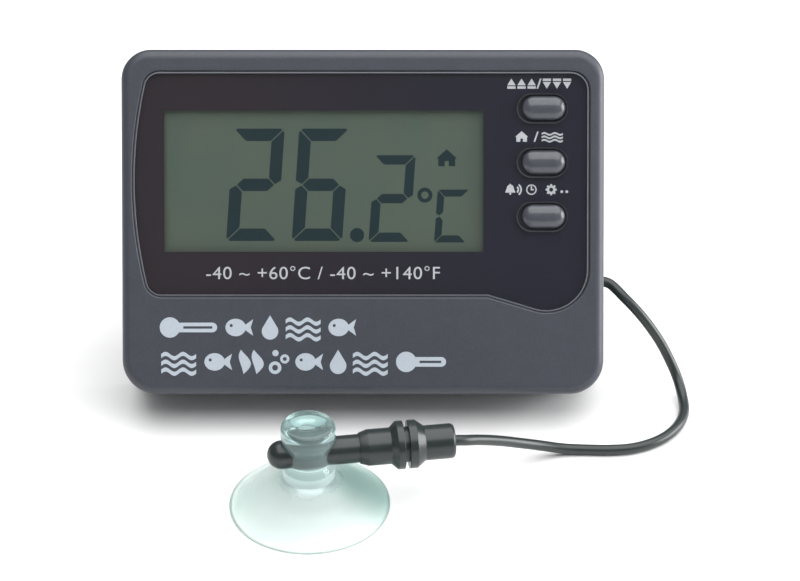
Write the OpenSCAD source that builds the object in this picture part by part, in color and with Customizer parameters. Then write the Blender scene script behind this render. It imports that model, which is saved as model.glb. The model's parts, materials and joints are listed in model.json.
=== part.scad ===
// Digital aquarium thermometer: a case that leans on a rear stand, and a wired probe in a suction cup.
// The case is drawn upright in its own frame: X right, Y from the front face to the back, Z up from
// the middle of the face. in_case() leans it back and sets it down. Millimetres and degrees.

/* [Case] */
// Width of the case
case_w = 105; // [104:0.5:110]
// Height of the case
case_h = 75; // [74:0.5:78]
// Depth of the case from the front face to the back
case_d = 22; // [22:0.5:24]
// Angle at which the case leans back on its stand
lean = 30; // [20:1:35]
// Rounding of the front and rear edges
edge_r = 2; // [1.5:0.1:2.2]
// Corner radius at the top of the face
top_r = 6.5; // [6:0.1:7.5]
// Corner radius at the bottom of the face
bottom_r = 7.5; // [7:0.1:8]
// Thickness of the case walls
wall = 2; // [1.8:0.1:2]

/* [Window] */
// Width of the printed opening for the display
window_w = 69.4; // [60:0.1:70]
// Height of the printed opening for the display
window_h = 30.7; // [26:0.1:31]
// Thickness of the clear window
lens_t = 1; // [0.8:0.1:1]
// Gap around the clear window
lens_gap = 0.3; // [0.1:0.05:0.4]

/* [Buttons] */
// Width of a button cap
cap_w = 9.7; // [9:0.1:9.8]
// Height of a button cap
cap_h = 5.4; // [5:0.1:5.5]
// Distance between neighbouring buttons
cap_pitch = 11.75; // [11.5:0.05:12]
// How far a button travels
cap_travel = 0.5; // [0.3:0.1:0.5]

/* [Stand] */
// Distance from the hinge to the foot of the stand
stand_l = 39; // [38:0.5:39.2]
// Width of the stand
stand_w = 30.6; // [26:0.2:31]
// Radius of the stand's hinge pin
pin_r = 1; // [0.8:0.1:1]

/* [Battery] */
// Diameter of the cell
cell_d = 10.5; // [10.3:0.1:10.5]
// Length of the cell with its button
cell_l = 44.5; // [44:0.1:44.5]

/* [Probe] */
// Diameter of the probe tube
tube_d = 6; // [5.8:0.1:6]
// Diameter of the probe's flanges
flange_d = 10.2; // [9:0.1:11]
// Diameter of the cable
cable_d = 2.3; // [2:0.1:2.4]
// Turn of the probe away from the case's width
probe_yaw = 8; // [6:1:10]

/* [Suction cup] */
// Diameter of the cup's rim
cup_d = 34; // [32:0.5:36]
// Height of the cup with its head
cup_h = 21; // [20:0.5:22]
// Height of the cross hole's middle above the rim
cup_hole_z = 13.7; // [13.5:0.1:14]

/* [Hidden] */
$fn = 48;
over = 1;            // how far a cut runs past the face that it opens
hull_fn = 32;

// Colours
case_grey = [0.36, 0.38, 0.41];
button_grey = [0.45, 0.47, 0.50];
film_black = [0.08, 0.08, 0.10];
clear_plastic = [0.75, 0.80, 0.85, 0.35];
lcd_grey = [0.42, 0.46, 0.41];
board_green = [0.10, 0.35, 0.20];
steel = [0.72, 0.73, 0.75];
brass = [0.80, 0.66, 0.32];
probe_black = [0.10, 0.12, 0.12];
cup_clear = [0.85, 0.94, 0.92, 0.45];

// Depths from the front face, from the window to the circuit board
lens_y = 0.25;                         // front of the clear window
mask_y = lens_y + lens_t;              // front of the printed film
mask_t = 0.15;
seat_y = mask_y + mask_t;              // floor of the window's seat
front_y = seat_y + 1.2;                // inside of the front wall
glass_t = 0.7;
rear_glass_y = front_y + glass_t;
reflector_y = rear_glass_y + glass_t;
reflector_t = 0.2;
board_y = front_y + 2.8;               // front of the circuit board
board_t = 1.2;
board_back_y = board_y + board_t;
split_y = 9;                           // where the two halves of the case meet
seam = 0.2;                            // shadow line between the halves
back_y = case_d - wall;                // inside of the rear wall

// The case's place: its origin stands over the middle of its depth when it leans back
case_rise = (case_d - edge_r) * sin(lean) + (case_h / 2 - edge_r) * cos(lean) + edge_r;
case_reach_front = (case_h / 2 - edge_r) * sin(lean) - edge_r * cos(lean) + edge_r;
case_reach_back = (case_d - edge_r) * cos(lean) + (case_h / 2 - edge_r) * sin(lean) + edge_r;
case_shift = (case_reach_front - case_reach_back) / 2;

// Window outline: a bowed left side, square top and bottom, and a bulge at the lower right
lens_top = 32.6;
lens_bottom = -16;
lens_right = 49;
lens_right_r = 4;                      // upper right corner
lens_left_r = 3.5;                     // both left corners
bow_r = 94.35;                         // radius of the left side
bow_c = [44.5, 8.8];                   // centre of the left side's arc
bulge_r = 9.1;
bulge_c = [lens_right - bulge_r, -10.3];
bulge_start = [27.2, lens_bottom];     // where the bulge leaves the bottom edge

// Display
window_c = [-8.5, 8.95];
glass_w = 72.8;
glass_h = 35.7;
rear_glass_h = 31.7;
holder_rim = 1.5;
zebra_w = 1.6;
zebra_l = 68;

// Buttons and their switches
cap_x = 39.3;
cap_zs = [13.05 + cap_pitch, 13.05, 13.05 - cap_pitch];
hole_shift = [-0.35, -0.1];            // the holes sit a little left of and below the caps
hole_w = cap_w + 0.9;
hole_h = cap_h + 0.6;
cap_front = -0.7;                      // crown of the dome, in front of the face
cap_lip_y = front_y + 0.05;
cap_lip_t = 0.75;
plunger_y = cap_lip_y + cap_lip_t;      // front of the plungers, which the caps' lips touch
plunger_r = 1.2;
plunger_l = 1.2;
plunger_gap = 0.05;
switch_w = 6;
switch_y = 4;

// Screws
screw_x = 46;
screw_z = 31;
screw_r = 1.1;
screw_head_r = 2.2;
screw_seat_y = 15;
boss_r = 3.2;
front_boss_r = 2.5;
board_screw_r = 0.9;
board_boss_r = 1.9;
board_screws_at = [[32.3, 18.9], [32.3, 7.2], [-45, -16.5], [25, -16.5]];

// Circuit board
board_x = 48.5;
board_top = 27.9;
board_bottom = -20;

// Battery box and its door
cell_x = -33.5;
cell_y = 14;
cell_bottom = -19.5;
box_in = 6.4;                          // half width inside the battery box
box_top = 27.5;
box_bottom = -27;
box_wall = 1;
box_floor_y = 8.6;
door_half = 7.4;
door_tongue = 1;
door_t = 1.5;
door_bottom = -30;
door_gap = 0.15;
tongue_t = 0.7;

// Stand
hinge_y = case_d - 2.2;
hinge_z = 6;
knuckle_r = 1.9;
foot_r = 1.1;
foot_out = 0.8;                        // the foot's middle lies this far outward of the hinge line
stand_in = 0.3;                        // the plate's inner face, inward of the hinge line
recess_y = hinge_y - knuckle_r - 0.3;
recess_half = stand_w / 2 + 0.6;
recess_top = hinge_z + knuckle_r + 0.5;
recess_bottom = hinge_z - stand_l - foot_r - 0.9;
hinge_height = case_rise + hinge_z * cos(lean) - hinge_y * sin(lean);
foot_reach = sqrt(stand_l * stand_l + foot_out * foot_out);
stand_open = acos((hinge_height - foot_r) / foot_reach) + lean - atan(foot_out / stand_l);

// Keyhole, sound holes, vents and unit switch on the rear
key_z = 26;
key_r = 3.5;
key_slot_r = 1.9;
key_slot_l = 5;
buzzer_at = [32, 14];
buzzer_r = 10;
vent_at = [36, -20.1];
unit_at = [27, -6];
unit_travel = 2;

// Cable gland in the right side
gland_y = 14;
gland_z = -13.4;
gland_r = 2;
gland_lip_r = 2.9;
gland_lip_t = 0.8;
cable_r = cable_d / 2;

// Probe: distances run along its axis from the tip
tube_r = tube_d / 2;
flange_r = flange_d / 2;
cup_at = 8.7;                          // where the suction cup's axis crosses the probe
cup_c = [-11, -54.3];                  // middle of the cup's rim on the table
probe_dir = [cos(probe_yaw), sin(probe_yaw)];
tip = [cup_c[0] - cup_at * probe_dir[0], cup_c[1] - cup_at * probe_dir[1], cup_hole_z];
sleeve_start = 19.3;
sleeve_end = 29.6;
boot_end = 39.5;
cable_in_boot = 34;
tube_end = 27;
bore_gap = 0.05;                       // the cup's hole turns on the tube with this clearance

// Free part of the cable: it drops from the gland, lies in one bend on the table, and rises to the boot
cable_route = [
    [55.1, -4.6, 23.6], [57.8, -6.6, 21.7], [60.9, -8, 18.8], [63.6, -9, 15.6], [66.2, -9.8, 11.8],
    [68.4, -10.9, 7.8], [70.2, -13, 4.2], [71.1, -16.8, 1.9], [71.1, -21.4, 1.2], [69.5, -26.6, 1.2],
    [66.6, -30.8, 1.2], [63, -33.7, 1.2], [58.6, -35.6, 1.2], [53.8, -36.2, 1.2],
    [48.8, -36.1, 1.2], [43.8, -36.3, 1.6], [38.4, -37.9, 3.6], [33.8, -40.3, 6],
    [29.4, -43.4, 8.8], [25, -46.8, 11.5], [22, -49, 13]
];

// Points of an arc from angle a0 to angle a1
function arc(c, r, a0, a1, n = 12) =
    [for (i = [0 : n]) let (a = a0 + (a1 - a0) * i / n) [c[0] + r * cos(a), c[1] + r * sin(a)]];

// Outline of a pill that is wider than it is high
function pill(c, w, h) = concat(
    arc([c[0] + (w - h) / 2, c[1]], h / 2, -90, 90),
    arc([c[0] - (w - h) / 2, c[1]], h / 2, 90, 270));

// Outline of the case, moved inward by inset
function case_outline(inset) =
    let (x = case_w / 2, z = case_h / 2, t = top_r, b = bottom_r) concat(
        arc([x - b, b - z], b - inset, -90, 0),
        arc([x - t, z - t], t - inset, 0, 90),
        arc([t - x, z - t], t - inset, 90, 180),
        arc([b - x, b - z], b - inset, 180, 270));

// Centre of a left corner of the window, which touches the bowed side and the line at height z
function bow_corner(z) =
    [bow_c[0] - sqrt(pow(bow_r - lens_left_r, 2) - pow(z - bow_c[1], 2)), z];

function angle_of(v) = let (a = atan2(v[1], v[0])) a < 0 ? a + 360 : a;

// Outline of the clear window, grown outward by grow
function lens_outline(grow = 0) = let (
        upper = bow_corner(lens_top - lens_left_r),
        lower = bow_corner(lens_bottom + lens_left_r),
        upper_a = angle_of(upper - bow_c),
        lower_a = angle_of(lower - bow_c),
        to_start = bulge_start - bulge_c,
        bulge_a = angle_of(to_start) + acos(bulge_r / norm(to_start))
    ) concat(
        arc(bulge_c, bulge_r + grow, bulge_a, 360),
        arc([lens_right - lens_right_r, lens_top - lens_right_r], lens_right_r + grow, 0, 90),
        arc(upper, lens_left_r + grow, 90, upper_a, 8),
        arc(bow_c, bow_r + grow, upper_a, lower_a, 16),
        arc(lower, lens_left_r + grow, lower_a, 270, 8),
        [[bulge_start[0] - grow * tan((270 - bulge_a) / 2), lens_bottom - grow]]);

// A point on a smooth curve through p1 and p2, with p0 and p3 on either side
function between(p0, p1, p2, p3, t) =
    0.5 * (2 * p1 + (p2 - p0) * t + (2 * p0 - 5 * p1 + 4 * p2 - p3) * t * t
        + (3 * p1 - p0 - 3 * p2 + p3) * t * t * t);

// The route with extra points, so that each stretch between two route points becomes steps stretches
function smooth(route, steps) = let (last = len(route) - 1) concat(
    [for (i = [0 : last - 1]) for (k = [0 : steps - 1])
        between(route[max(i - 1, 0)], route[i], route[i + 1], route[min(i + 2, last)], k / steps)],
    [route[last]]);

function unit(v) = v / norm(v);

// A side direction for every point of a path, carried along so that the tube doesn't twist
function side_dirs(path, i = 0, sides = []) =
    i == len(path) ? sides : let (
        d = unit(path[min(i + 1, len(path) - 1)] - path[max(i - 1, 0)]),
        start = abs(d[2]) < 0.9 ? [0, 0, 1] : [0, 1, 0],
        last = i == 0 ? start : sides[i - 1]
    ) side_dirs(path, i + 1, concat(sides, [unit(last - (last * d) * d)]));

// A round tube along a path of points
module tube(path, r, sides) {
    s = side_dirs(path);
    n = len(path);
    rings = [for (i = [0 : n - 1]) let (
        d = unit(path[min(i + 1, n - 1)] - path[max(i - 1, 0)]),
        u = cross(d, s[i])
    ) for (k = [0 : sides - 1]) let (a = 360 * k / sides)
        path[i] + r * (cos(a) * s[i] + sin(a) * u)];
    walls = [for (i = [0 : n - 2]) for (k = [0 : sides - 1]) let (m = (k + 1) % sides)
        [i * sides + k, (i + 1) * sides + k, (i + 1) * sides + m, i * sides + m]];
    first = [for (k = [0 : sides - 1]) k];
    last = [for (k = [sides - 1 : -1 : 0]) (n - 1) * sides + k];
    polyhedron(rings, concat(walls, [first, last]));
}

// Sets a shape drawn in the case's own frame down on the table, leaning back
module in_case() {
    translate([0, case_shift, case_rise]) rotate([-lean, 0, 0]) children();
}

// The place on the table's frame of a point in the case's own frame
function case_point(p) = [
    p[0],
    p[1] * cos(lean) + p[2] * sin(lean) + case_shift,
    p[2] * cos(lean) - p[1] * sin(lean) + case_rise
];

// Lays a shape that is drawn along +Z from its origin along the probe, from the tip
module in_probe() {
    translate(tip) rotate([0, 90, probe_yaw]) children();
}

// The place on the probe's axis at distance s from the tip
function probe_point(s) = tip + s * [probe_dir[0], probe_dir[1], 0];

// A flat shape drawn as X and Z, given thickness from depth y0 to depth y1
module slab(y0, y1) {
    translate([0, y1, 0]) rotate([90, 0, 0]) linear_extrude(y1 - y0) children();
}

// A round rod along the depth
module rod_y(at, y0, y1, r) {
    translate([at[0], y1, at[1]]) rotate([90, 0, 0]) cylinder(r = r, h = y1 - y0);
}

// A round rod along the width
module rod_x(x0, x1, y, z, r) {
    translate([x0, y, z]) rotate([0, 90, 0]) cylinder(r = r, h = x1 - x0);
}

// A box between two corners
module block(low, high) {
    translate(low) cube(high - low);
}

// One corner of the case, round at the outer end
module case_corner(r, depth) {
    rotate([-90, 0, 0]) rotate_extrude($fn = hull_fn) {
        translate([0, edge_r]) square([r, depth - edge_r]);
        square([r - edge_r, depth]);
        translate([r - edge_r, edge_r]) circle(edge_r);
    }
}

// Half of the case as a solid block, with its round edge at depth 0
module case_block(depth) {
    hull($fn = hull_fn) {
        for (side = [-1, 1]) {
            translate([side * (case_w / 2 - top_r), 0, case_h / 2 - top_r])
                case_corner(top_r, depth);
            translate([side * (case_w / 2 - bottom_r), 0, bottom_r - case_h / 2])
                case_corner(bottom_r, depth);
        }
    }
}

// A ring that follows the case's outline between two insets
module case_ring(y0, y1, outer, inner) {
    slab(y0, y1) difference() {
        polygon(case_outline(outer));
        polygon(case_outline(inner));
    }
}

module button_hole(z, y0, y1) {
    slab(y0, y1) polygon(pill([cap_x + hole_shift[0], z + hole_shift[1]], hole_w, hole_h));
}

module window_hole(y0, y1, margin) {
    slab(y0, y1) translate(window_c)
        square([window_w + 2 * margin, window_h + 2 * margin], center = true);
}

module front_cover() {
    color(case_grey) in_case() difference() {
        union() {
            difference() {
                case_block(split_y - seam);
                slab(front_y, split_y + over) polygon(case_outline(wall));
            }
            for (x = [-screw_x, screw_x], z = [-screw_z, screw_z])
                rod_y([x, z], front_y - 0.5, split_y, front_boss_r);
            for (at = board_screws_at)
                rod_y(at, front_y - 0.5, board_y, board_boss_r);
        }
        slab(-over, seat_y) polygon(lens_outline(lens_gap));
        window_hole(seat_y - over, front_y + over, 0.6);
        for (z = cap_zs)
            button_hole(z, seat_y - over, front_y + over);
        for (x = [-screw_x, screw_x], z = [-screw_z, screw_z])
            rod_y([x, z], 4.5, split_y + over, screw_r);
        for (at = board_screws_at)
            rod_y(at, front_y + 0.4, board_y + over, board_screw_r);
    }
}

module rear_cover() {
    tray_half = recess_half + 1.3;
    rail_half = door_half + door_tongue + 1.2;
    color(case_grey) in_case() difference() {
        union() {
            difference() {
                translate([0, case_d, 0]) mirror([0, 1, 0]) case_block(case_d - split_y);
                slab(split_y - over, back_y) polygon(case_outline(wall));
            }
            case_ring(split_y, split_y + 2, wall - 0.5, wall + 1.1);
            case_ring(split_y - 1.4, split_y + 0.5, wall + 0.15, wall + 1.1);
            for (x = [-screw_x, screw_x], z = [-screw_z, screw_z])
                rod_y([x, z], split_y, back_y + 0.5, boss_r);
            block([cell_x - box_in - box_wall, box_floor_y - 0.8, box_bottom - box_wall],
                [cell_x + box_in + box_wall, back_y + 0.5, box_top + box_wall]);
            block([cell_x - rail_half, back_y - 1, door_bottom - 1.5],
                [cell_x + rail_half, back_y + 0.5, case_h / 2 - wall + 0.5]);
            block([-tray_half, recess_y - 1.2, -case_h / 2 + wall - 0.5],
                [tray_half, back_y + 0.5, recess_top + 1.2]);
            block([-6.2, 16, 20.5], [6.2, back_y + 0.5, case_h / 2 - wall + 0.5]);
            rod_y(buzzer_at, back_y - 1.8, back_y + 0.5, buzzer_r + 1.2);
        }
        battery_cuts();
        stand_cuts();
        keyhole_cuts();
        rod_y(buzzer_at, back_y - 1.8 - over, back_y - 1, buzzer_r + 0.1);
        rod_y(buzzer_at, back_y - 1.5, back_y, buzzer_r - 0.8);
        rod_y(buzzer_at, back_y - over, case_d + over, 0.8, $fn = 24);
        for (a = [0 : 60 : 300])
            rod_y(buzzer_at + 4 * [cos(a), sin(a)], back_y - over, case_d + over, 0.8, $fn = 24);
        for (k = [-1.5 : 1.5])
            block([vent_at[0] - 4.5, back_y - over, vent_at[1] + 2.6 * k - 0.65],
                [vent_at[0] + 4.5, case_d + over, vent_at[1] + 2.6 * k + 0.65]);
        block([unit_at[0] - 3.1, back_y - over, unit_at[1] - 1.3],
            [unit_at[0] + 3.1, case_d + over, unit_at[1] + 1.3]);
        block([unit_at[0] - 5.5, case_d - 0.8, unit_at[1] - 2.8],
            [unit_at[0] + 5.5, case_d + over, unit_at[1] + 2.8]);
        for (x = [-screw_x, screw_x], z = [-screw_z, screw_z]) {
            rod_y([x, z], split_y - over, screw_seat_y + over, screw_r + 0.2);
            rod_y([x, z], screw_seat_y, case_d + over, screw_head_r + 0.3);
        }
        rod_x(case_w / 2 - wall - over, case_w / 2 + over, gland_y, gland_z, gland_r);
    }
}

// Inside of the battery box, and the door's opening with a groove on either side
module battery_cuts() {
    half = door_half + door_gap;
    groove = half + door_tongue;
    groove_y = case_d - door_t - door_gap;
    low = door_bottom - door_gap;
    high = case_h / 2 + over;
    block([cell_x - box_in, box_floor_y, box_bottom], [cell_x + box_in, groove_y + over, box_top]);
    block([cell_x - half, groove_y, low], [cell_x + half, case_d + over, high]);
    block([cell_x - groove, groove_y, low], [cell_x + groove, groove_y + tongue_t + 2 * door_gap, high]);
}

// Recess for the folded stand, the holes for its pin, and a finger notch at its foot
module stand_cuts() {
    block([-recess_half, recess_y, recess_bottom], [recess_half, case_d + over, recess_top]);
    rod_x(-recess_half - 2, recess_half + 2, hinge_y, hinge_z, pin_r);
    rod_y([0, recess_bottom + 6], case_d - 1.6, case_d + over, 6.5);
}

// Keyhole for a wall screw, and the closed pocket behind it
module keyhole_cuts() {
    rod_y([0, key_z], back_y - over, case_d + over, key_r);
    block([-key_slot_r, back_y - over, key_z], [key_slot_r, case_d + over, key_z + key_slot_l]);
    rod_y([0, key_z + key_slot_l], back_y - over, case_d + over, key_slot_r + 0.001);
    block([-5, 17.2, 21.7], [5, back_y, 34.5]);
}

module display_lens() {
    color(clear_plastic) in_case() difference() {
        slab(lens_y, mask_y) polygon(lens_outline());
        for (z = cap_zs)
            button_hole(z, lens_y - over, mask_y + over);
    }
}

module lens_mask() {
    color(film_black) in_case() difference() {
        slab(mask_y, seat_y) polygon(lens_outline(-0.2));
        window_hole(mask_y - over, seat_y + over, 0);
        for (z = cap_zs)
            button_hole(z, mask_y - over, seat_y + over);
    }
}

// One flat sheet of the display
module display_sheet(y0, y1, h) {
    in_case() slab(y0, y1) translate(window_c) square([glass_w, h], center = true);
}

module lcd_front_glass() {
    color(clear_plastic) display_sheet(front_y, rear_glass_y, glass_h);
}

module lcd_rear_glass() {
    color(lcd_grey) display_sheet(rear_glass_y, reflector_y, rear_glass_h);
}

module lcd_reflector() {
    color(steel) display_sheet(reflector_y, reflector_y + reflector_t, rear_glass_h);
}

module lcd_holder() {
    color("white") in_case() slab(front_y, board_y) translate(window_c) difference() {
        square([glass_w + 2 * holder_rim, glass_h + 2 * holder_rim], center = true);
        square([glass_w + 0.2, glass_h + 0.2], center = true);
    }
}

module zebra_strips() {
    color(film_black) in_case() slab(rear_glass_y, board_y)
        for (side = [-1, 1])
            translate(window_c + [0, side * (glass_h / 2 - 1)]) square([zebra_l, zebra_w], center = true);
}

module circuit_board() {
    color(board_green) in_case() difference() {
        block([-board_x, board_y, board_bottom], [board_x, board_back_y, board_top]);
        for (at = board_screws_at)
            rod_y(at, board_y - over, board_back_y + over, board_screw_r + 0.15);
    }
}

module chip_blob() {
    blob_h = 1.1;
    foot_r = 5;
    ball_r = (foot_r * foot_r + blob_h * blob_h) / (2 * blob_h);
    color("black") in_case() translate([-4, board_back_y, 6]) rotate([-90, 0, 0])
        rotate_extrude() polygon(concat(
            arc([0, blob_h - ball_r], ball_r, asin((ball_r - blob_h) / ball_r), 90, 8), [[0, 0]]));
}

module quartz_crystal() {
    color(steel) in_case() {
        rod_x(8, 14, board_back_y + 1, -6, 1);
        rod_x(7.6, 8, board_back_y + 1, -6, 0.7);
    }
}

module indoor_thermistor() {
    bead_y = board_back_y + 8;
    color(probe_black) in_case() {
        translate([vent_at[0], bead_y, -16]) sphere(1.4, $fn = 24);
        for (side = [-0.6, 0.6])
            rod_y([vent_at[0] + side, -16], board_back_y, bead_y, 0.25, $fn = 16);
    }
}

module buzzer_disc() {
    color(brass) in_case() {
        rod_y(buzzer_at, back_y - 1.4, back_y - 1, buzzer_r);
        rod_y(buzzer_at, back_y - 1.7, back_y - 1.4, 7);
    }
}

module tact_switches() {
    color("dimgray") in_case() for (z = cap_zs) difference() {
        block([cap_x - switch_w / 2, switch_y, z - switch_w / 2],
            [cap_x + switch_w / 2, board_y, z + switch_w / 2]);
        rod_y([cap_x, z], switch_y - over, plunger_y + plunger_l + cap_travel + 0.2,
            plunger_r + plunger_gap);
    }
}

// A pill-shaped cap with a domed front, and a lip behind the front wall that keeps it in
module button(z) {
    color(button_grey) in_case() {
        hull($fn = hull_fn) {
            slab(cap_front + 0.6, cap_lip_y) polygon(pill([cap_x, z], cap_w, cap_h));
            slab(cap_front + 0.2, cap_lip_y) polygon(pill([cap_x, z], cap_w - 0.9, cap_h - 0.9));
            slab(cap_front, cap_lip_y) polygon(pill([cap_x, z], cap_w - 2.6, cap_h - 2.6));
        }
        slab(cap_lip_y, cap_lip_y + cap_lip_t) polygon(pill([cap_x, z], hole_w + 1, hole_h + 1));
    }
}

module plunger(z) {
    color("black") in_case() rod_y([cap_x, z], plunger_y, plunger_y + plunger_l, plunger_r);
}

module battery_cell() {
    nub_l = 0.8;
    color("steelblue") in_case() translate([cell_x, cell_y, cell_bottom]) {
        cylinder(d = cell_d, h = cell_l - nub_l);
        cylinder(d = 3.8, h = cell_l);
    }
}

module battery_contact_positive() {
    plate_z = cell_bottom + cell_l;
    color(steel) in_case() {
        block([cell_x - 4.5, cell_y - 4.5, plate_z], [cell_x + 4.5, cell_y + 4.5, plate_z + 0.4]);
        block([cell_x - 1.5, cell_y - 4.5, plate_z + 0.4], [cell_x + 1.5, cell_y - 4, box_top]);
    }
}

module battery_contact_spring() {
    turns = 4;
    per_turn = 12;
    wire_r = 0.35;
    plate_top = box_bottom + 0.4;
    low = plate_top + wire_r - 0.1;
    high = cell_bottom - wire_r;
    color(steel) in_case() {
        block([cell_x - 5, cell_y - 4.8, box_bottom], [cell_x + 5, cell_y + 4.8, plate_top]);
        tube([for (i = [0 : turns * per_turn]) let (
                f = i / (turns * per_turn),
                a = 360 * i / per_turn,
                r = 4.2 - 2 * f
            ) [cell_x + r * cos(a), cell_y + r * sin(a), low + (high - low) * f]], wire_r, 6);
    }
}

// A shape drawn as Y and Z, given width from x0 to x1
module wide(x0, x1) {
    translate([x0, 0, 0]) rotate([90, 0, 90]) linear_extrude(x1 - x0) children();
}

module battery_door() {
    inner_y = case_d - door_t;
    rounding = [case_d - edge_r, case_h / 2 - edge_r];
    tongue_half = door_half + door_tongue - door_gap;
    color(case_grey) in_case() difference() {
        union() {
            wide(cell_x - door_half, cell_x + door_half) polygon(concat(
                [[inner_y, door_bottom], [case_d, door_bottom]],
                arc(rounding, edge_r, 0, acos((inner_y - rounding[0]) / edge_r), 8)));
            block([cell_x - tongue_half, inner_y, door_bottom],
                [cell_x + tongue_half, inner_y + tongue_t, rounding[1]]);
        }
        for (k = [0 : 4])
            block([cell_x - 5, case_d - 0.4, 22 + 1.8 * k], [cell_x + 5, case_d + over, 22.9 + 1.8 * k]);
    }
}

// The stand is drawn hanging from its hinge line at the origin, outward is +Y, then swung open
module stand() {
    color(case_grey) in_case() translate([0, hinge_y, hinge_z]) rotate([stand_open, 0, 0]) {
        difference() {
            union() {
                rod_x(-stand_w / 2, stand_w / 2, 0, 0, knuckle_r);
                block([-stand_w / 2, -stand_in, -stand_l], [stand_w / 2, knuckle_r, 0]);
                rod_x(-stand_w / 2, stand_w / 2, foot_out, -stand_l, foot_r);
            }
            rod_x(-stand_w, stand_w, 0, 0, pin_r + 0.05);
            block([-stand_w / 2 + 6, -over, -stand_l + 9], [stand_w / 2 - 6, -stand_in + 1, -8]);
            block([-stand_w / 2 + 4, knuckle_r - 0.4, -stand_l + 11],
                [stand_w / 2 - 4, knuckle_r + over, -5]);
            for (z = [3, 5, 7])
                block([-9, knuckle_r - 0.5, z - stand_l], [9, knuckle_r + over, z - stand_l + 0.9]);
        }
    }
}

module stand_hinge_pin() {
    color(steel) in_case() rod_x(-recess_half - 1.3, recess_half + 1.3, hinge_y, hinge_z, pin_r);
}

// A pan-head screw along the depth, its head's underside at depth seat, with a cross recess
module pan_screw(at, seat, shank_l, shank_r, head_r, head_h) {
    difference() {
        union() {
            rod_y(at, seat, seat + head_h, head_r);
            rod_y(at, seat - shank_l, seat, shank_r);
        }
        for (turn = [0, 90])
            translate([at[0], seat + head_h, at[1]]) rotate([0, turn, 0])
                block([-head_r * 0.6, -head_h * 0.5, -0.25], [head_r * 0.6, over, 0.25]);
    }
}

module case_screws() {
    color(steel) in_case() for (x = [-screw_x, screw_x], z = [-screw_z, screw_z])
        pan_screw([x, z], screw_seat_y, screw_seat_y - 5, screw_r, screw_head_r, 1.5);
}

module board_screws() {
    color(steel) in_case() for (at = board_screws_at)
        pan_screw(at, board_back_y, board_back_y - front_y - 0.6, board_screw_r, board_boss_r - 0.1, 1);
}

module unit_switch_body() {
    color("dimgray") in_case() difference() {
        block([unit_at[0] - 4.5, back_y - 3.4, unit_at[1] - 2.3],
            [unit_at[0] + 4.5, back_y, unit_at[1] + 2.3]);
        block([unit_at[0] - 3, back_y - 2, unit_at[1] - 1.05],
            [unit_at[0] + 3, back_y + over, unit_at[1] + 1.05]);
    }
}

module unit_switch_knob() {
    x = unit_at[0] - unit_travel / 2;
    color("black") in_case()
        block([x - 1.2, back_y - 1.9, unit_at[1] - 0.95], [x + 1.2, case_d - 0.2, unit_at[1] + 0.95]);
}

// Wires inside the case, each from a solder point on the board's back
module inner_wires() {
    wire_r = 0.4;
    pad_y = board_back_y + 0.01;
    core_x = case_w / 2 - wall - gland_lip_t - 0.01;
    color("firebrick") in_case() {
        for (side = [-0.45, 0.45])
            tube(smooth([[core_x, gland_y, gland_z + side], [46, gland_y - 0.4, gland_z + 2 * side],
                [43, gland_y - 3, gland_z + 3 * side], [42, 10, gland_z + 4 * side],
                [41.6, pad_y, gland_z + 4 * side]], 3), wire_r, 6);
        for (side = [-2, 2])
            tube(smooth([[buzzer_at[0] + side, back_y - 1.71, 14], [buzzer_at[0] + side, 15, 13],
                [buzzer_at[0] + side, 11, 11], [buzzer_at[0] + side, pad_y, 11]], 3), wire_r, 6);
        for (side = [-2, 2])
            tube(smooth([[unit_at[0] + side, back_y - 3.41, unit_at[1]], [unit_at[0] + side, 13, -6.5],
                [unit_at[0] + side, 10, -8], [unit_at[0] + side, pad_y, -8]], 3), wire_r, 6);
    }
}

// A soft bushing: a barrel in the wall with a lip on either side
module cable_grommet() {
    color(probe_black) in_case() translate([case_w / 2, gland_y, gland_z]) rotate([0, 90, 0])
        difference() {
            union() {
                translate([0, 0, -wall]) cylinder(r = gland_r, h = wall);
                cylinder(r1 = gland_lip_r, r2 = gland_lip_r - 0.5, h = gland_lip_t);
                translate([0, 0, -wall - gland_lip_t]) cylinder(r = gland_lip_r, h = gland_lip_t);
            }
            translate([0, 0, -wall - gland_lip_t - over])
                cylinder(r = cable_r, h = wall + 2 * gland_lip_t + 2 * over);
        }
}

module cable() {
    start = case_point([case_w / 2 - wall - gland_lip_t, gland_y, gland_z]);
    mouth = case_point([case_w / 2 + gland_lip_t, gland_y, gland_z]);
    path = concat([start], smooth(concat([mouth], cable_route, [probe_point(boot_end)]), 2),
        [probe_point(cable_in_boot)]);
    color(probe_black) tube(path, cable_r, 8);
}

module probe_tube() {
    inner_r = tube_r - 0.8;
    color(probe_black) in_probe() difference() {
        union() {
            translate([0, 0, tube_r]) sphere(tube_r);
            translate([0, 0, tube_r]) cylinder(r = tube_r, h = tube_end - tube_r);
        }
        translate([0, 0, tube_r]) cylinder(r = inner_r, h = tube_end);
    }
}

module probe_sleeve() {
    collar_r = 3.85;
    neck_r = 3.75;
    color(probe_black) in_probe() rotate_extrude() polygon([
        [tube_r, sleeve_start], [tube_r + 0.2, sleeve_start], [collar_r, 21.1], [collar_r, 25.9],
        [flange_r, 27.2], [flange_r, 28.7], [neck_r, 28.7], [neck_r, sleeve_end],
        [1.6, sleeve_end], [1.6, tube_end], [tube_r, tube_end]
    ]);
}

module cable_boot() {
    sleeve_r = 3.7;
    round_r = 1.7;
    color(probe_black) in_probe() rotate_extrude() polygon(concat([
        [cable_r, sleeve_end], [flange_r, sleeve_end], [flange_r, 31.3], [sleeve_r, 33.1]],
        arc([sleeve_r - round_r, boot_end - round_r], round_r, 0, 90, 8),
        [[cable_r, boot_end]]));
}

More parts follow.
